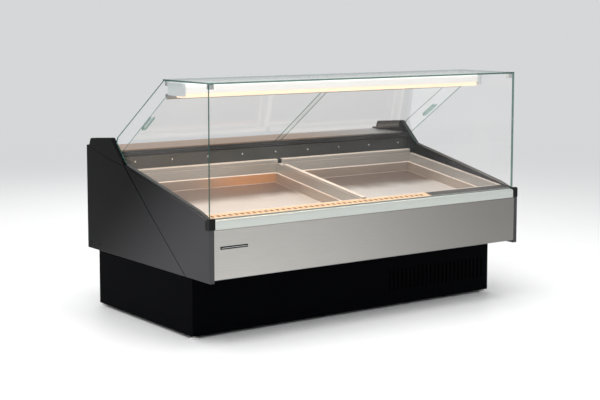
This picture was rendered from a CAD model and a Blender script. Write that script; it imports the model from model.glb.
import bpy
import math
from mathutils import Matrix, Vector


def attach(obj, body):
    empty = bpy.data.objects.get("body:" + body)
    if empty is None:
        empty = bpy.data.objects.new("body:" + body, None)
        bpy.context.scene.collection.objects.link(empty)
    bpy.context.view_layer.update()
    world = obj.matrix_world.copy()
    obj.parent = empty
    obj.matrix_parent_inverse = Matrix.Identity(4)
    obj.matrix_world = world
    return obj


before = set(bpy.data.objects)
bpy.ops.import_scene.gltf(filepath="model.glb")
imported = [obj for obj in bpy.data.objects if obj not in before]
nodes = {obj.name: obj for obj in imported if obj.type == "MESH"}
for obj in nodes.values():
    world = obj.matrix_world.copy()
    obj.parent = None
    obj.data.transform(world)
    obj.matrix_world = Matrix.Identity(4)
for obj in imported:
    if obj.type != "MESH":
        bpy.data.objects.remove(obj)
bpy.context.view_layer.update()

mm = 0.001
deckTilt = math.atan(0.151)      # slope of the wells' deck
doorTilt = math.atan2(315, 465)  # slope of the sliding doors


# --- colours and node trees

def toLinear(code):
    # an sRGB hex value as linear light
    channels = [int(code[start:start + 2], 16) / 255 for start in (0, 2, 4)]
    return [c / 12.92 if c <= 0.04045 else ((c + 0.055) / 1.055) ** 2.4 for c in channels] + [1.0]


def addNode(tree, kind, links=None, **settings):
    # adds a node; each link is an input's name or number and a value or another node's output
    node = tree.nodes.new(kind)
    for name, setting in settings.items():
        setattr(node, name, setting)
    for name, source in (links or {}).items():
        if isinstance(source, bpy.types.NodeSocket):
            tree.links.new(source, node.inputs[name])
        else:
            node.inputs[name].default_value = source
    return node


def newMaterial(name):
    material = bpy.data.materials.new(name)
    material.use_nodes = True
    material.node_tree.nodes.clear()
    return material, material.node_tree


def finishSurface(name, look):
    # one opaque finish: grain stretched along the way it was worked, smudges, fine specks, and grain bump
    material, tree = newMaterial(name)
    place = addNode(tree, "ShaderNodeTexCoord").outputs["Object"]
    stretched = addNode(tree, "ShaderNodeMapping", {
        "Vector": place, "Scale": [1 / (size * mm) for size in look["grain"]]})
    grain = addNode(tree, "ShaderNodeTexNoise", {
        "Vector": stretched.outputs[0], "Scale": 1.0, "Detail": 4.0, "Roughness": 0.62})
    smudge = addNode(tree, "ShaderNodeTexNoise", {
        "Vector": place, "Scale": 1 / (look["smudge"] * mm), "Detail": 5.0, "Distortion": 0.5})
    speck = addNode(tree, "ShaderNodeTexVoronoi", {"Vector": place, "Scale": 1 / (look["speck"] * mm)})
    speckMask = addNode(tree, "ShaderNodeMapRange", {
        "Value": speck.outputs["Distance"], "From Min": 0.05, "From Max": 0.13, "To Min": 1.0, "To Max": 0.0})
    shade = addNode(tree, "ShaderNodeValToRGB", {"Fac": grain.outputs["Fac"]})
    shade.color_ramp.elements[0].position = 0.32
    shade.color_ramp.elements[0].color = toLinear(look["dark"])
    shade.color_ramp.elements[1].position = 0.68
    shade.color_ramp.elements[1].color = toLinear(look["light"])
    smudgeMask = addNode(tree, "ShaderNodeMapRange", {
        "Value": smudge.outputs["Fac"], "From Min": 0.45, "From Max": 0.72,
        "To Min": 0.0, "To Max": look["smudgeDepth"]})
    smudged = addNode(tree, "ShaderNodeMix", {
        0: smudgeMask.outputs[0], 6: shade.outputs["Color"], 7: toLinear(look["smudgeColour"])},
        data_type="RGBA")
    speckPart = addNode(tree, "ShaderNodeMath", {0: speckMask.outputs[0], 1: look["speckDepth"]},
                        operation="MULTIPLY")
    specked = addNode(tree, "ShaderNodeMix", {
        0: speckPart.outputs[0], 6: smudged.outputs[2], 7: toLinear(look["speckColour"])}, data_type="RGBA")
    colour = specked.outputs[2]
    for axis, start, end, far in look.get("washes", ()):
        # a slow drift of tone along one direction, from where it starts to where it is full, in metres
        along = addNode(tree, "ShaderNodeVectorMath", {0: place, 1: axis}, operation="DOT_PRODUCT")
        drift = addNode(tree, "ShaderNodeMapRange", {
            "Value": along.outputs["Value"], "From Min": start, "From Max": end},
            interpolation_type="SMOOTHSTEP")
        washed = addNode(tree, "ShaderNodeMix", {0: drift.outputs[0], 6: colour, 7: toLinear(far)},
                         data_type="RGBA")
        colour = washed.outputs[2]
    if "tones" in look:
        colour = look["tones"](tree, colour)
    rough = addNode(tree, "ShaderNodeMapRange", {
        "Value": grain.outputs["Fac"], "From Min": 0.3, "From Max": 0.7,
        "To Min": look["rough"][0], "To Max": look["rough"][1]})
    roughSmudge = addNode(tree, "ShaderNodeMath", {0: smudgeMask.outputs[0], 1: 0.25}, operation="MULTIPLY")
    roughSum = addNode(tree, "ShaderNodeMath", {0: rough.outputs[0], 1: roughSmudge.outputs[0]},
                       operation="ADD")
    bump = addNode(tree, "ShaderNodeBump", {
        "Height": grain.outputs["Fac"], "Strength": look["bump"], "Distance": look["depth"] * mm})
    shader = addNode(tree, "ShaderNodeBsdfPrincipled", {
        "Base Color": colour, "Roughness": roughSum.outputs[0], "Normal": bump.outputs[0],
        "Metallic": look["metal"], "Specular IOR Level": look.get("shine", 0.5)})
    if "coat" in look:
        shader.inputs["Coat Weight"].default_value = look["coat"]
        shader.inputs["Coat Roughness"].default_value = look.get("coatRough", 0.2)
    if "glow" in look:
        shader.inputs["Emission Color"].default_value = toLinear(look["glow"])
        shader.inputs["Emission Strength"].default_value = look["glowPower"]
    addNode(tree, "ShaderNodeOutputMaterial", {"Surface": shader.outputs[0]})
    return material


looksOfMetal = {
    "smudge": 180, "smudgeDepth": 0.16, "speck": 34, "speckDepth": 0.25, "bump": 0.12, "depth": 0.05,
    "metal": 1.0,
}


def brushed(name, light, dark, rough, lengthwise=(90, 0.9, 0.9), **more):
    # brushed sheet: long fine scratches, drawn about 1 mm wide so that they show
    look = dict(looksOfMetal, light=light, dark=dark, rough=rough, grain=lengthwise,
                smudgeColour=dark, speckColour=dark)
    look.update(more)
    return finishSurface(name, look)


def coated(name, light, dark, rough, **more):
    # powder coat or moulded plastic: an even orange peel or texture with a little dust on it
    look = dict(light=light, dark=dark, rough=rough, grain=(1.6, 1.6, 1.6), smudge=240, smudgeDepth=0.12,
                smudgeColour=light, speck=26, speckDepth=0.3, speckColour=light, bump=0.1, depth=0.08,
                metal=0.0)
    look.update(more)
    return finishSurface(name, look)


def glassSheet(name, look):
    # a clear sheet: faces let the view through under a gloss that grows as they slant, edges are tinted
    material, tree = newMaterial(name)
    place = addNode(tree, "ShaderNodeTexCoord")
    dust = addNode(tree, "ShaderNodeTexNoise", {
        "Vector": place.outputs["Object"], "Scale": 1 / (look["smear"] * mm), "Detail": 6.0,
        "Distortion": 1.2})
    facing = addNode(tree, "ShaderNodeVectorMath", {0: place.outputs["Normal"], 1: look["across"]},
                     operation="DOT_PRODUCT")
    flatness = addNode(tree, "ShaderNodeMath", {0: facing.outputs["Value"]}, operation="ABSOLUTE")
    edge = addNode(tree, "ShaderNodeMath", {0: flatness.outputs[0], 1: 0.6}, operation="LESS_THAN")
    clear = addNode(tree, "ShaderNodeBsdfTransparent", {"Color": toLinear(look["tint"])})
    roughness = addNode(tree, "ShaderNodeMapRange", {
        "Value": dust.outputs["Fac"], "From Min": 0.4, "From Max": 0.7, "To Min": 0.0, "To Max": 0.05})
    gloss = addNode(tree, "ShaderNodeBsdfGlossy", {"Color": (1, 1, 1, 1), "Roughness": roughness.outputs[0]})
    # both faces of a pane reflect alike, so the gloss follows the facing angle, not entry and exit
    slant = addNode(tree, "ShaderNodeLayerWeight", {"Blend": 0.5})
    steep = addNode(tree, "ShaderNodeMath", {0: slant.outputs["Facing"], 1: 5.0}, operation="POWER")
    held = addNode(tree, "ShaderNodeMath", {0: steep.outputs[0], 1: look["gloss"], 2: 0.012},
                   operation="MULTIPLY_ADD")
    pane = addNode(tree, "ShaderNodeMixShader", {
        0: held.outputs[0], 1: clear.outputs[0], 2: gloss.outputs[0]})
    haze = addNode(tree, "ShaderNodeBsdfDiffuse", {"Color": toLinear("f2f5f4")})
    hazePart = addNode(tree, "ShaderNodeMapRange", {
        "Value": dust.outputs["Fac"], "From Min": 0.45, "From Max": 0.75, "To Min": look["haze"] * 0.3,
        "To Max": look["haze"]})
    hazed = addNode(tree, "ShaderNodeMixShader", {
        0: hazePart.outputs[0], 1: pane.outputs[0], 2: haze.outputs[0]})
    edgeGreen = addNode(tree, "ShaderNodeBsdfPrincipled", {
        "Base Color": toLinear(look["edge"]), "Roughness": 0.12,
        "Emission Color": toLinear(look["edge"]), "Emission Strength": look["edgeGlow"]})
    edgeClear = addNode(tree, "ShaderNodeBsdfTransparent", {"Color": toLinear(look["edgeTint"])})
    rim = addNode(tree, "ShaderNodeMixShader", {
        0: look["edgeDepth"], 1: edgeClear.outputs[0], 2: edgeGreen.outputs[0]})
    whole = addNode(tree, "ShaderNodeMixShader", {0: edge.outputs[0], 1: hazed.outputs[0], 2: rim.outputs[0]})
    addNode(tree, "ShaderNodeOutputMaterial", {"Surface": whole.outputs[0]})
    return material


deckFoot = Vector((0, -0.6, 0.5836))
deckAlong = Vector((0, math.cos(deckTilt), math.sin(deckTilt)))
deckUp = Vector((0, -math.sin(deckTilt), math.cos(deckTilt)))


wellTones = {
    "wobble": 0.12, "bandStart": 0.60, "bandEnd": 0.74, "band": "7b6b62",
    "ledgeAbove": -0.07, "ledge": "ece0d4", "edge": "ece0d6",
    "lowerBelow": -0.0535, "upperWall": "aaa8a4", "lowerWall": "aca095",
    "patchAt": (-0.16, 0.235, 0.63), "patchNear": 0.06, "patchFar": 0.46, "patch": "e6ae80",
    "floorFlat": 0.9, "wallFlat": 0.15, "rearFacing": -0.7,
}


def tonesOfWell(tree, colour):
    # reflections laid on by place, not made by the lights: a brown band at the back of each
    # floor, a warm lower wall with an orange patch by the divider, grey upper walls, bright ledges and edges
    coord = addNode(tree, "ShaderNodeTexCoord")
    place, normal = coord.outputs["Object"], coord.outputs["Normal"]
    wobble = addNode(tree, "ShaderNodeTexNoise", {"Vector": place, "Scale": 5.0, "Detail": 3.0})
    along = addNode(tree, "ShaderNodeVectorMath", {0: place, 1: deckAlong}, operation="DOT_PRODUCT")
    alongDeck = addNode(tree, "ShaderNodeMath", {0: along.outputs["Value"], 1: deckAlong.dot(deckFoot)},
                        operation="SUBTRACT")
    alongWobbled = addNode(tree, "ShaderNodeMath", {
        0: wobble.outputs["Fac"], 1: wellTones["wobble"], 2: alongDeck.outputs[0]}, operation="MULTIPLY_ADD")
    height = addNode(tree, "ShaderNodeVectorMath", {0: place, 1: deckUp}, operation="DOT_PRODUCT")
    depth = addNode(tree, "ShaderNodeMath", {0: height.outputs["Value"], 1: deckUp.dot(deckFoot)},
                    operation="SUBTRACT")
    level = addNode(tree, "ShaderNodeVectorMath", {0: normal, 1: deckUp}, operation="DOT_PRODUCT")
    flatness = addNode(tree, "ShaderNodeMath", {0: level.outputs["Value"]}, operation="ABSOLUTE")
    floorPart = addNode(tree, "ShaderNodeMath", {0: flatness.outputs[0], 1: wellTones["floorFlat"]},
                        operation="GREATER_THAN")
    wallPart = addNode(tree, "ShaderNodeMath", {0: flatness.outputs[0], 1: wellTones["wallFlat"]},
                       operation="LESS_THAN")
    band = addNode(tree, "ShaderNodeMapRange", {
        "Value": alongWobbled.outputs[0], "From Min": wellTones["bandStart"],
        "From Max": wellTones["bandEnd"]}, interpolation_type="SMOOTHSTEP")
    floorTone = addNode(tree, "ShaderNodeMix", {
        0: band.outputs[0], 6: colour, 7: toLinear(wellTones["band"])}, data_type="RGBA")
    ledge = addNode(tree, "ShaderNodeMath", {0: depth.outputs[0], 1: wellTones["ledgeAbove"]},
                    operation="GREATER_THAN")
    levelTone = addNode(tree, "ShaderNodeMix", {
        0: ledge.outputs[0], 6: floorTone.outputs[2], 7: toLinear(wellTones["ledge"])}, data_type="RGBA")
    lower = addNode(tree, "ShaderNodeMath", {0: depth.outputs[0], 1: wellTones["lowerBelow"]},
                    operation="LESS_THAN")
    wallTone = addNode(tree, "ShaderNodeMix", {
        0: lower.outputs[0], 6: toLinear(wellTones["upperWall"]), 7: toLinear(wellTones["lowerWall"])},
        data_type="RGBA")
    away = addNode(tree, "ShaderNodeVectorMath", {0: place, 1: wellTones["patchAt"]}, operation="DISTANCE")
    patch = addNode(tree, "ShaderNodeMapRange", {
        "Value": away.outputs["Value"], "From Min": wellTones["patchNear"],
        "From Max": wellTones["patchFar"], "To Min": 1.0, "To Max": 0.0}, interpolation_type="SMOOTHSTEP")
    rearward = addNode(tree, "ShaderNodeVectorMath", {0: normal, 1: deckAlong}, operation="DOT_PRODUCT")
    rearFace = addNode(tree, "ShaderNodeMath", {
        0: rearward.outputs["Value"], 1: wellTones["rearFacing"]}, operation="LESS_THAN")
    patchRear = addNode(tree, "ShaderNodeMath", {0: patch.outputs[0], 1: rearFace.outputs[0]},
                        operation="MULTIPLY")
    patchLower = addNode(tree, "ShaderNodeMath", {0: patchRear.outputs[0], 1: lower.outputs[0]},
                         operation="MULTIPLY")
    heated = addNode(tree, "ShaderNodeMix", {
        0: patchLower.outputs[0], 6: wallTone.outputs[2], 7: toLinear(wellTones["patch"])}, data_type="RGBA")
    edged = addNode(tree, "ShaderNodeMix", {
        0: wallPart.outputs[0], 6: toLinear(wellTones["edge"]), 7: heated.outputs[2]}, data_type="RGBA")
    toned = addNode(tree, "ShaderNodeMix", {
        0: floorPart.outputs[0], 6: edged.outputs[2], 7: levelTone.outputs[2]}, data_type="RGBA")
    return toned.outputs[2]


def tonesOfRail(tree, colour):
    # laid on by place like the pans: grey sides under a bright top
    normal = addNode(tree, "ShaderNodeTexCoord").outputs["Normal"]
    level = addNode(tree, "ShaderNodeVectorMath", {0: normal, 1: deckUp}, operation="DOT_PRODUCT")
    side = addNode(tree, "ShaderNodeMath", {0: level.outputs["Value"], 1: 0.2}, operation="LESS_THAN")
    toned = addNode(tree, "ShaderNodeMix", {0: side.outputs[0], 6: colour, 7: toLinear("a5a39f")},
                    data_type="RGBA")
    return toned.outputs[2]


# --- finishes, each named for the real material

# baked matt powder, very dark
plinthCoat = coated("blackPowderCoat", "030407", "020203", (0.55, 0.68), shine=0.02, speckColour="07080a",
                    smudgeColour="060709")
# dull sprayed primer
frameCoat = coated("greyPrimerOnTube", "4a4c4e", "37393b", (0.55, 0.7))
# bright plating
zincPlate = brushed("zincPlatedSteel", "d9dcdd", "a9adb0", (0.25, 0.4), (3, 3, 3), speck=12)
# zinc flakes, dull and mottled
galvanised = brushed("galvanisedSheet", "a3a7a8", "86898b", (0.42, 0.6), (22, 22, 22), smudge=60,
                     smudgeDepth=0.3)
# long satin brushing along X; it darkens to the right by place, not by the lights
frontSteel = brushed("brushedStainlessFront", "c1bfba", "b6b4af", (0.32, 0.4), smudge=600, speckDepth=0.1,
                     washes=[((1, 0, 0), -0.9, 1.0, "8c8a86")])
# pale even satin
bumperMetal = brushed("satinAnodisedExtrusion", "d3d8d2", "c9cec9", (0.34, 0.42), (200, 3, 3),
                      speckDepth=0.05, metal=0.75)
# satin moulded shell; lighter towards its lower front by place, not by the lights
endPlastic = coated("charcoalMouldedAbs", "0c0c0d", "080809", (0.34, 0.44), grain=(0.9, 0.9, 0.9), shine=0.05,
                    speckColour="121213", smudgeColour="101011",
                    washes=[((0, -0.6, -0.8), -0.66, -0.02, "444446")])
# finely textured black plastic
capPlastic = coated("blackMouldedNylon", "121213", "0a0a0b", (0.35, 0.5), grain=(1.1, 1.1, 1.1), shine=0.15)
# smooth pan steel; its tones are laid on by place, see tonesOfWell
wellSteel = brushed("brushedStainlessWell", "e6e1dc", "e2dcd6", (0.27, 0.3), (500, 2, 2), smudge=520,
                    smudgeDepth=0.1, smudgeColour="d8cabb", speckDepth=0.0, bump=0.0, metal=0.55, shine=0.4,
                    tones=tonesOfWell)
# bright top over grey sides
railSteel = brushed("brushedStainlessRail", "e6dacd", "dccfc1", (0.3, 0.4), (500, 3, 3), bump=0.0, metal=0.5,
                    tones=tonesOfRail)
# warm satin strip round the slots
stripSteel = brushed("slottedStainlessStrip", "d6b894", "ccac86", (0.36, 0.46), metal=0.2)
# dull dark satin
blankSteel = brushed("satinStripGrey", "4a4845", "3d3b39", (0.45, 0.55), metal=0.3, shine=0.15)
# brushed sheet, peach on the left and grey on the right by place, not by the lights
topSteel = brushed("brushedStainlessTop", "c9a98e", "bb9a80", (0.36, 0.46),
                   washes=[((1, 0, 0), 0.1, 0.9, "c6c2bc")])
# smooth dark enamel
wallCoat = coated("greyEnamelOnSteel", "1c1c19", "161614", (0.34, 0.44), metal=0.0, shine=0.25)
# grey anodised drawn track
trackMetal = brushed("anodisedTrack", "a3a5a4", "8f9190", (0.32, 0.45), (200, 1.5, 1.5))
# as dark as the wall under it
trackDark = coated("blackAnodisedTrack", "24211e", "1a1816", (0.34, 0.44), shine=0.35)
# coarse yellow-brown fibres
wool = coated("mineralWool", "c9b678", "a38c4c", (0.9, 1.0), grain=(5, 5, 2), bump=0.9, depth=2.0)
# blued by heat
heaterTube = brushed("heatStainedTube", "6b5f57", "44403d", (0.35, 0.55), (3, 30, 3), smudge=40,
                     smudgeDepth=0.5, smudgeColour="39435f")
# smooth grey pipe
pipePlastic = coated("greyPvcPipe", "8b8e90", "7c7f81", (0.4, 0.5))
# pale moulded pad and stud
footNylon = coated("whiteNylonFoot", "eeeeea", "dcdcd8", (0.35, 0.5))
# dull yellow casting
valveBrass = brushed("castBrass", "c9a55a", "a9853f", (0.3, 0.5), (2, 2, 2), smudge=30)
# soft red dip
leverCoat = coated("redDippedVinyl", "b8261d", "98190f", (0.35, 0.5))
# bright satin clip
clipMetal = brushed("satinChromeClip", "e8eaea", "c9cccc", (0.16, 0.28), (2, 2, 2), speckDepth=0.1)
# stove-enamelled white
lightMetal = coated("whitePaintedHousing", "f1efea", "e6e4df", (0.4, 0.5))
# pale smooth moulding
lightCap = coated("paleGreyPolycarbonate", "c2c8c8", "b2b8b8", (0.35, 0.45))
# brushed grey fascia
controlSteel = brushed("brushedStainlessFascia", "c4c3c0", "adaca9", (0.3, 0.42))
# satin black knob
knobPlastic = coated("blackPhenolicKnob", "1d1d1e", "121213", (0.28, 0.4), grain=(0.7, 0.7, 0.7))
# wet-looking black rocker
rockerPlastic = coated("glossBlackNylon", "161617", "0d0d0e", (0.12, 0.2), coat=0.6, coatRough=0.08)
# amber lens that glows
lampLens = coated("amberAcrylicLens", "ff9a35", "e07a1c", (0.1, 0.2), glow="ff8a20", glowPower=1.2)
# light grey satin paint
boxCoat = coated("lightGreyBoxCoat", "9a9d9f", "86898b", (0.45, 0.6))
# grey moulding
glandPlastic = coated("greyNylonGland", "7c7e80", "68696b", (0.45, 0.55))
# bright turned head
screwSteel = brushed("turnedStainlessHead", "cfcfce", "9c9c9b", (0.2, 0.35), (1.2, 1.2, 1.2), speck=6)
# milky seal
sealant = coated("clearSiliconeSeal", "aeb4b2", "949a98", (0.25, 0.4), grain=(4, 1, 1))
# white printed marks
markPaint = coated("whitePadPrint", "ececea", "d6d6d4", (0.5, 0.6))
# warm glowing opal cover
diffuserGlow = coated("opalDiffuser", "c4b8a4", "b9ad99", (0.3, 0.4), glow="ffe0c0", glowPower=0.75)

paneLook = {"smear": 420, "across": (0, 1, 0), "tint": "ffffff", "gloss": 0.7, "haze": 0.02, "edge": "2c4f48",
            "edgeGlow": 0.06, "edgeTint": "a3c4b9", "edgeDepth": 0.62}
# clear panes with thin dark green edges; the acrylic doors have fainter ones
frontPane = glassSheet("floatGlassFront", paneLook)
topPane = glassSheet("floatGlassTop", dict(paneLook, across=(0, 0, 1)))
sidePane = glassSheet("floatGlassSide", dict(paneLook, across=(1, 0, 0)))
doorPane = glassSheet("clearAcrylicDoor", dict(
    paneLook, across=(0, math.sin(doorTilt), math.cos(doorTilt)), edge="3b4a47", edgeGlow=0.02,
    edgeDepth=0.16))
pullAcrylic = glassSheet("clearAcrylicPull", dict(paneLook, across=(0, 0, 1), edge="8fa39e", edgeDepth=0.1))
print("finishes made")

finishOf = {
    plinthCoat: ["plinth_front", "plinth_left", "plinth_right", "plinth_rear", "service_door"],
    frameCoat: ["base_frame", "service_door_hinges"],
    footNylon: ["foot_front_left", "foot_front_right", "foot_rear_left", "foot_rear_right"],
    zincPlate: ["service_door_latch"],
    galvanised: ["body_floor", "rear_panel"],
    frontSteel: ["front_panel"],
    bumperMetal: ["bumper"],
    endPlastic: ["side_panel_left", "side_panel_right", "shoulder_left", "shoulder_right"],
    capPlastic: ["bumper_caps", "rail_end_plugs"],
    wellSteel: ["well_left", "well_right"],
    railSteel: ["divider_bar", "rear_rails"],
    stripSteel: ["front_slot_strip"],
    blankSteel: ["front_blank_strip"],
    topSteel: ["worktop"],
    controlSteel: ["control_panel"],
    wallCoat: ["inner_rear_wall"],
    trackMetal: ["door_track_upper", "glazing_channels"],
    trackDark: ["door_track_lower"],
    wool: ["insulation"],
    heaterTube: ["heater_left", "heater_right"],
    pipePlastic: ["drain_pipes"],
    valveBrass: ["drain_valve"],
    leverCoat: ["drain_lever"],
    pullAcrylic: ["door_pull_left", "door_pull_right"],
    clipMetal: ["glass_clips"],
    lightMetal: ["light_housing"],
    lightCap: ["light_end_caps"],
    knobPlastic: ["thermostat_knob_left", "thermostat_knob_right"],
    rockerPlastic: ["rocker_lamp", "rocker_heat"],
    lampLens: ["indicator_lamps"],
    boxCoat: ["electrical_box"],
    glandPlastic: ["mains_gland"],
    screwSteel: ["panel_screws"],
    diffuserGlow: ["light_diffuser"],
    frontPane: ["front_glass"],
    topPane: ["top_glass"],
    sidePane: ["side_glass_left", "side_glass_right"],
    doorPane: ["sliding_door_left", "sliding_door_right"],
}
for finish, named in finishOf.items():
    for label in named:
        nodes[label].data.materials.clear()
        nodes[label].data.materials.append(finish)
missed = sorted(set(nodes) - {label for named in finishOf.values() for label in named})
if missed:
    raise RuntimeError(f"no finish for {missed}")
print("finishes on the frame's nodes")


# --- making pieces

def only(piece):
    bpy.ops.object.select_all(action="DESELECT")
    piece.select_set(True)
    bpy.context.view_layer.objects.active = piece


def settle(piece, name, finish, body):
    # names a new piece, applies its place, gives it its finish and lets it ride on a body
    only(piece)
    bpy.ops.object.transform_apply(location=True, rotation=True, scale=True)
    piece.name = name
    piece.data.materials.clear()
    piece.data.materials.append(finish)
    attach(piece, body)
    return piece


def softened(piece, width, segments=2, angle=30):
    # rounds a piece's edges with a bevel and applies it
    only(piece)
    bpy.ops.object.transform_apply(location=True, rotation=True, scale=True)
    bevel = piece.modifiers.new("bevel", "BEVEL")
    bevel.width = width
    bevel.segments = segments
    bevel.limit_method = "ANGLE"
    bevel.angle_limit = math.radians(angle)
    bpy.ops.object.modifier_apply(modifier=bevel.name)
    bpy.ops.object.shade_smooth_by_angle(angle=math.radians(35))


def barPiece(name, low, high, finish, body, round=1.0):
    # a bar between two corners in millimetres, with rounded edges
    size = [(b - a) * mm for a, b in zip(low, high)]
    middle = [(a + b) / 2 * mm for a, b in zip(low, high)]
    bpy.ops.object.select_all(action="DESELECT")
    bpy.ops.mesh.primitive_cube_add(size=1, location=middle, scale=size)
    piece = bpy.context.object
    softened(piece, round * mm)
    return settle(piece, name, finish, body)


def headPiece(name, spot, axis, radius, high, finish, body, sides=20, drive=True):
    # a screw head: a disc with a domed edge and a recess in its face
    turn = Vector((0, 0, 1)).rotation_difference(Vector(axis)).to_euler()
    centre = Vector(spot) * mm + Vector(axis).normalized() * high * mm / 2
    bpy.ops.object.select_all(action="DESELECT")
    bpy.ops.mesh.primitive_cylinder_add(vertices=sides, radius=radius * mm, depth=high * mm, location=centre,
                                        rotation=turn)
    piece = bpy.context.object
    bpy.ops.object.mode_set(mode="EDIT")
    bpy.ops.mesh.select_all(action="DESELECT")
    bpy.ops.object.mode_set(mode="OBJECT")
    top = max(piece.data.polygons, key=lambda face: face.center.z)
    top.select = True
    bpy.ops.object.mode_set(mode="EDIT")
    bpy.ops.mesh.select_mode(type="FACE")
    bpy.ops.mesh.bevel(offset=high * 0.45 * mm, segments=2, affect="EDGES")
    if drive:
        bpy.ops.mesh.inset(thickness=radius * 0.35 * mm)
        bpy.ops.mesh.extrude_region_move(TRANSFORM_OT_translate={
            "value": -Vector(axis).normalized() * high * 0.5 * mm})
    bpy.ops.object.mode_set(mode="OBJECT")
    only(piece)
    bpy.ops.object.shade_smooth_by_angle(angle=math.radians(35))
    return settle(piece, name, finish, body)


# folded sheet and moulded pieces get small rounded edges, in millimetres
edgeRounds = {
    "well_left": 1.8, "well_right": 1.8, "divider_bar": 1.0, "rear_rails": 2.5, "worktop": 0.8, "bumper": 0.6,
    "front_panel": 0.7, "front_slot_strip": 0.4, "front_blank_strip": 0.4, "glass_clips": 1.5,
    "light_end_caps": 2.0, "rail_end_plugs": 1.0, "plinth_front": 0.5, "plinth_left": 0.5,
    "plinth_right": 0.5, "plinth_rear": 0.5, "service_door": 0.5, "door_pull_left": 1.5,
    "door_pull_right": 1.5, "bumper_caps": 0.8,
    "light_housing": 0.6, "control_panel": 0.5, "rocker_lamp": 0.8, "rocker_heat": 0.8, "drain_lever": 1.2,
    "glazing_channels": 0.4, "electrical_box": 0.8, "base_frame": 1.5, "shoulder_left": 1.0,
    "shoulder_right": 1.0, "side_panel_left": 0.8, "side_panel_right": 0.8,
    "front_glass": 0.8, "top_glass": 0.8, "side_glass_left": 0.8, "side_glass_right": 0.8,
}
for label, width in edgeRounds.items():
    weld = nodes[label].modifiers.new("weld", "WELD")
    weld.merge_threshold = 0.01 * mm
    bevel = nodes[label].modifiers.new("bevel", "BEVEL")
    bevel.width = width * mm
    bevel.segments = 2
    bevel.limit_method = "ANGLE"
    bevel.angle_limit = math.radians(35)
    bevel.harden_normals = True
    # keeps the large faces flat between their rounded edges
    flat = nodes[label].modifiers.new("flat", "WEIGHTED_NORMAL")
    flat.weight = 80
    flat.keep_sharp = True
print("edges rounded")


# --- control fascia: knob grips and pointers, scale marks, switch marks

fascia = {"rear": 550, "height": 752, "knobX": 300, "knobFace": 574.5, "rockerX": 90}
grip = {"half": 4.5, "sunk": 1, "out": 6, "reach": 17, "round": 2.5}
pointer = {"half": 0.9, "start": 5.7, "end": 6.4, "low": 5, "high": 15.5, "round": 0.25}
scale = {"marks": 10, "sweep": 270, "inner": 27, "short": 5, "long": 8, "each": 5, "wide": 1.0, "thick": 0.5,
         "off": 0.2, "round": 0.12}
bezelSize = {"halfX": 13, "halfZ": 19, "out": 2.2, "round": 0.9, "hole": (19, 12, 30), "holeOut": 1}
for side, x in (("left", -fascia["knobX"]), ("right", fascia["knobX"])):
    face, height = fascia["knobFace"], fascia["height"]
    barPiece(f"knob_grip_{side}", (x - grip["half"], face - grip["sunk"], height - grip["reach"]),
             (x + grip["half"], face + grip["out"], height + grip["reach"]),
             knobPlastic, f"{side}_knob", grip["round"])
    barPiece(f"knob_pointer_{side}", (x - pointer["half"], face + pointer["start"], height + pointer["low"]),
             (x + pointer["half"], face + pointer["end"], height + pointer["high"]),
             markPaint, f"{side}_knob", pointer["round"])
    for mark in range(scale["marks"] + 1):
        angle = math.radians(mark * scale["sweep"] / scale["marks"])
        long = scale["short"] if mark % scale["each"] else scale["long"]
        reach = scale["inner"] + long / 2
        bpy.ops.object.select_all(action="DESELECT")
        bpy.ops.mesh.primitive_cube_add(
            size=1, location=((x - reach * math.sin(angle)) * mm, (fascia["rear"] + scale["off"]) * mm,
                              (height + reach * math.cos(angle)) * mm),
            rotation=(0, -angle, 0), scale=(scale["wide"] * mm, scale["thick"] * mm, long * mm))
        tick = bpy.context.object
        softened(tick, scale["round"] * mm, 1)
        settle(tick, f"scale_mark_{side}_{mark}", capPlastic, "case")
for label, x in (("lamp", -fascia["rockerX"]), ("heat", fascia["rockerX"])):
    bezel = barPiece(f"switch_bezel_{label}",
                     (x - bezelSize["halfX"], fascia["rear"], fascia["height"] - bezelSize["halfZ"]),
                     (x + bezelSize["halfX"], fascia["rear"] + bezelSize["out"],
                      fascia["height"] + bezelSize["halfZ"]), rockerPlastic, "case", bezelSize["round"])
    # the bezel is a frame: its middle is cut away round the rocker
    bpy.ops.object.select_all(action="DESELECT")
    bpy.ops.mesh.primitive_cube_add(
        size=1, location=(x * mm, (fascia["rear"] + bezelSize["holeOut"]) * mm, fascia["height"] * mm),
        scale=[size * mm for size in bezelSize["hole"]])
    cutter = bpy.context.object
    only(cutter)
    bpy.ops.object.transform_apply(location=True, rotation=True, scale=True)
    only(bezel)
    cut = bezel.modifiers.new("opening", "BOOLEAN")
    cut.object = cutter
    cut.operation = "DIFFERENCE"
    bpy.ops.object.modifier_apply(modifier=cut.name)
    bpy.data.objects.remove(cutter)
print("fascia dressed")


# --- screws that hold sheets and trims

towardsRear, towardsLeft, towardsRight = (0, 1, 0), (-1, 0, 0), (1, 0, 0)
wallNormal = (0, -0.952, 0.307)  # towards the customer, square to the dark sheet behind the wells
endHeights = ((470, 330), (560, 330))
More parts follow.
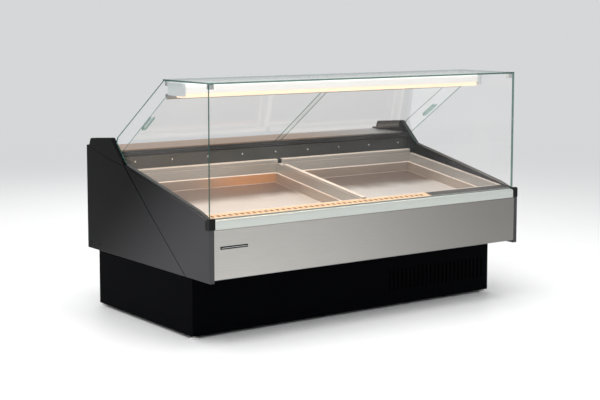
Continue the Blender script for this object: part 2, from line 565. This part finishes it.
# each row: name, places, which way the heads face, radius, height, finish
screwRows = [
    ("wall_screw", [(x, 268.6, 768) for x in range(-860, 861, 215)], wallNormal, 4, 1.8, screwSteel),
    ("rear_panel_screw", [(x, 550, z) for x in (-600, 0, 600) for z in (337, 665)], towardsRear, 5, 2.4,
     screwSteel),
    ("plinth_screw_rear", [(x, 524, z) for x in (-900, -560, 560, 900) for z in (40, 290)], towardsRear, 4.5,
     2, screwSteel),
    ("hinge_screw", [(-229, 533, z) for z in (96, 129, 212, 245)], towardsRear, 2.4, 1.2, screwSteel),
    ("fascia_screw", [(x, 550, z) for x in (-910, -450, 450, 910) for z in (706, 806)], towardsRear, 4, 2,
     screwSteel),
    ("end_screw_left", [(-963.5, y, z) for y, z in endHeights], towardsLeft, 4, 1.6, capPlastic),
    ("end_screw_right", [(963.5, y, z) for y, z in endHeights], towardsRight, 4, 1.6, capPlastic),
]
for name, spots, axis, radius, high, finish in screwRows:
    for count, spot in enumerate(spots):
        headPiece(f"{name}_{count}", spot, axis, radius, high, finish, "case")
print("screws in")


# --- seals, drains and stops

seal = {"half": 934, "frontY": -570, "foot": 585.2, "size": 4}
barPiece("front_glass_seal", (-seal["half"], seal["frontY"], seal["foot"]),
         (seal["half"], seal["frontY"] + seal["size"], seal["foot"] + seal["size"]), sealant, "case", 1.6)
drain = {"x": 466, "y": -299.1, "z": 523.9, "radius": 17, "high": 3}
cross = {"long": 13, "half": 1.4, "low": 1, "high": 3, "round": 0.5}
upright = (0, -math.sin(deckTilt), math.cos(deckTilt))
for side, x in (("left", -drain["x"]), ("right", drain["x"])):
    headPiece(f"drain_cup_{side}", (x, drain["y"], drain["z"]), upright, drain["radius"], drain["high"],
              wellSteel, "case", 36)
    for across in (True, False):
        reachX, reachY = (cross["long"], cross["half"]) if across else (cross["half"], cross["long"])
        barPiece(f"drain_cross_{side}_{'a' if across else 'b'}",
                 (x - reachX, drain["y"] - reachY, drain["z"] + cross["low"]),
                 (x + reachX, drain["y"] + reachY, drain["z"] + cross["high"]),
                 screwSteel, "case", cross["round"])
# warm tray under the strip's slots, so that they read as amber dashes
slotTray = coated("amberTray", "7c4c26", "6c401f", (0.4, 0.5))
bpy.ops.object.select_all(action="DESELECT")
trayAt = {"left": -936, "right": 390, "near": 33, "far": 95, "below": 2.6, "thick": 1.0, "round": 0.3}
trayMiddle = (trayAt["near"] + trayAt["far"]) / 2
deckFront, deckHeight = -600, 583.6
bpy.ops.mesh.primitive_cube_add(
    size=1, location=(
        (trayAt["left"] + trayAt["right"]) / 2 * mm,
        (trayMiddle * math.cos(deckTilt) + trayAt["below"] * math.sin(deckTilt) + deckFront) * mm,
        (deckHeight + trayMiddle * math.sin(deckTilt) - trayAt["below"] * math.cos(deckTilt)) * mm),
    rotation=(deckTilt, 0, 0), scale=((trayAt["right"] - trayAt["left"]) * mm,
                                      (trayAt["far"] - trayAt["near"]) * mm, trayAt["thick"] * mm))
tray = bpy.context.object
softened(tray, trayAt["round"] * mm, 1)
settle(tray, "strip_tray", slotTray, "case")

# dark insect screen a little behind the plinth's slots
barPiece("vent_screen", (225, -399, 76), (915, -397, 208), plinthCoat, "case", 0.3)
print("seals and drains in")


# --- plain badge on the front sheet, and a blank rating plate behind

barPiece("front_badge", (-905, -601.2, 449), (-757, -599.9, 463), capPlastic, "case", 0.5)
barPiece("front_badge_line", (-899, -601.7, 455), (-763, -601.0, 457), clipMetal, "case", 0.2)
barPiece("rating_plate", (560, 549.8, 470), (680, 550.9, 540), clipMetal, "case", 0.4)


# --- louvres in the rear sheet, each a pressed hood over a dark slot

louvre = {"count": 9, "pitch": 22, "wide": 150, "high": 12, "left": -560, "apart": 220, "low": 430, "lip": 2,
          "rear": 550, "clear": 0.2, "sides": 24, "round": 0.5}
for column, startX in (("left", louvre["left"]), ("right", louvre["left"] + louvre["apart"])):
    for row in range(louvre["count"]):
        z = louvre["low"] + row * louvre["pitch"]
        bpy.ops.object.select_all(action="DESELECT")
        bpy.ops.mesh.primitive_cylinder_add(
            vertices=louvre["sides"], radius=louvre["high"] * mm / 2, depth=louvre["wide"] * mm,
            location=((startX + louvre["wide"] / 2) * mm, louvre["rear"] * mm, z * mm),
            rotation=(0, math.pi / 2, 0))
        hood = bpy.context.object
        only(hood)
        bpy.ops.object.transform_apply(location=True, rotation=True, scale=True)
        bpy.ops.object.mode_set(mode="EDIT")
        bpy.ops.mesh.select_all(action="SELECT")
        bpy.ops.mesh.bisect(plane_co=(0, (louvre["rear"] + louvre["clear"]) * mm, 0), plane_no=(0, 1, 0),
                            clear_inner=True, use_fill=True)
        bpy.ops.mesh.select_all(action="SELECT")
        bpy.ops.mesh.bisect(plane_co=(0, 0, (z - louvre["lip"]) * mm), plane_no=(0, 0, 1), clear_inner=True,
                            use_fill=True)
        bpy.ops.object.mode_set(mode="OBJECT")
        softened(hood, louvre["round"] * mm, 1)
        settle(hood, f"louvre_{column}_{row}", galvanised, "case")
print("rear dressed")


# --- floor, lights and camera

# a round floor whose rim curves up into a wall, so that no edge shows from any side
cove = {"radius": 11.0, "bend": 5.0, "steps": 10, "wall": 3.0}
bpy.ops.object.select_all(action="DESELECT")
bpy.ops.mesh.primitive_circle_add(vertices=96, radius=cove["radius"], fill_type="NGON", location=(0, 0, 0))
floor = bpy.context.object
floor.name = "studio_floor"
bpy.ops.object.mode_set(mode="EDIT")
bpy.ops.mesh.select_mode(type="EDGE")
bpy.ops.mesh.select_all(action="SELECT")
reachBefore = cove["radius"]
highBefore = 0.0
for step in range(1, cove["steps"] + 1):
    angle = math.pi / 2 * step / cove["steps"]
    reach = cove["radius"] + cove["bend"] * math.sin(angle)
    high = cove["bend"] * (1 - math.cos(angle))
    if step == 1:
        bpy.ops.mesh.select_all(action="SELECT")
        bpy.ops.mesh.region_to_loop()
    bpy.ops.mesh.extrude_edges_move(TRANSFORM_OT_translate={"value": (0, 0, high - highBefore)})
    bpy.ops.transform.resize(value=(reach / reachBefore, reach / reachBefore, 1), center_override=(0, 0, 0))
    reachBefore, highBefore = reach, high
bpy.ops.mesh.extrude_edges_move(TRANSFORM_OT_translate={"value": (0, 0, cove["wall"])})
bpy.ops.object.mode_set(mode="OBJECT")
only(floor)
bpy.ops.object.shade_smooth()
floorFinish, floorTree = newMaterial("paleStudioFloor")
floorPlace = addNode(floorTree, "ShaderNodeTexCoord").outputs["Object"]
floorReach = addNode(floorTree, "ShaderNodeVectorMath", {0: floorPlace}, operation="LENGTH")
floorFade = addNode(floorTree, "ShaderNodeMapRange", {
    "Value": floorReach.outputs["Value"], "From Min": 2.0, "From Max": 10.0}, interpolation_type="SMOOTHSTEP")
floorShader = addNode(floorTree, "ShaderNodeBsdfPrincipled", {
    "Base Color": toLinear("ececec"), "Roughness": 0.45, "Specular IOR Level": 0.3})
backdrop = addNode(floorTree, "ShaderNodeEmission", {"Color": toLinear("d6d7d8"), "Strength": 1.0})
floorWhole = addNode(floorTree, "ShaderNodeMixShader", {
    0: floorFade.outputs[0], 1: floorShader.outputs[0], 2: backdrop.outputs[0]})
addNode(floorTree, "ShaderNodeOutputMaterial", {"Surface": floorWhole.outputs[0]})
floor.data.materials.append(floorFinish)

world = bpy.data.worlds.new("studio")
bpy.context.scene.world = world
world.use_nodes = True
world.node_tree.nodes["Background"].inputs["Color"].default_value = toLinear("dfdfe0")
world.node_tree.nodes["Background"].inputs["Strength"].default_value = 1.0


def softLight(name, spot, aim, size, power, colour="ffffff", mirrored=True):
    lamp = bpy.data.lights.new(name, "AREA")
    lamp.shape = "RECTANGLE"
    lamp.size, lamp.size_y = size
    lamp.energy = power
    lamp.color = toLinear(colour)[:3]
    holder = bpy.data.objects.new(name, lamp)
    bpy.context.scene.collection.objects.link(holder)
    holder.location = spot
    holder.visible_camera = False
    holder.visible_glossy = mirrored
    holder.rotation_euler = (Vector(aim) - Vector(spot)).to_track_quat("-Z", "Y").to_euler()


softLight("overhead", (-0.6, -0.6, 4.2), (0, 0, 0.4), (5.0, 4.0), 190, mirrored=False)
softLight("front_left", (-4.6, -3.6, 2.4), (-0.4, 0, 0.5), (2.4, 2.2), 60)
softLight("rear_rim", (1.5, 4.6, 3.4), (0, 0, 0.8), (3.0, 1.6), 50, mirrored=False)
# the light bar's own warm light, stronger towards the left well
softLight("lamp_left", (-0.45, -0.284, 1.117), (-0.45, -0.12, 0.6), (0.9, 0.05), 4.2, "ffd9ae")
softLight("lamp_right", (0.45, -0.284, 1.117), (0.45, -0.12, 0.6), (0.9, 0.05), 2.3, "fff6ea")

cameraData = bpy.data.cameras.new("camera")
cameraData.lens = 80.165
cameraData.sensor_width = 36
cameraData.shift_y = -0.08
cameraData.clip_end = 200
camera = bpy.data.objects.new("camera", cameraData)
camera.location = (-4.0936, -5.6422, 1.5127)
camera.rotation_euler = (math.radians(90 - 5.934), 0, math.radians(-35.759))
bpy.context.scene.collection.objects.link(camera)
bpy.context.scene.camera = camera
bpy.context.scene.view_settings.view_transform = "Standard"
print("stage set")
